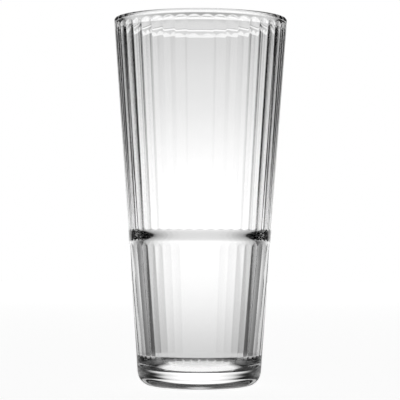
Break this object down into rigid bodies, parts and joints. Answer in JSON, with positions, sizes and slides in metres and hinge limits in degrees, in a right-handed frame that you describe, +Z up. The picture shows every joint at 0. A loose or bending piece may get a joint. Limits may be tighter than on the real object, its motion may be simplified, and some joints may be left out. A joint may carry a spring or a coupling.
{
  "type": "juice glass",
  "caption": "Clear pressed stacking tumbler for juice: straight tapered outside, fine reeds inside, an inner shoulder that the next glass rests on, and a thick dished base.",
  "frame": {"origin": "on the axis of the glass, at the level of the foot ring it stands on", "axes": "+Z up along the axis of the glass, towards the mouth; the glass is round, so X and Y are free"},
  "size_m": [0.0738, 0.0738, 0.1565],
  "materials": {
    "clear_glass": "fire-polished"
  },
  "bodies": {
    "root": {"glass_body": "clear_glass"}
  },
  "joints": []
}
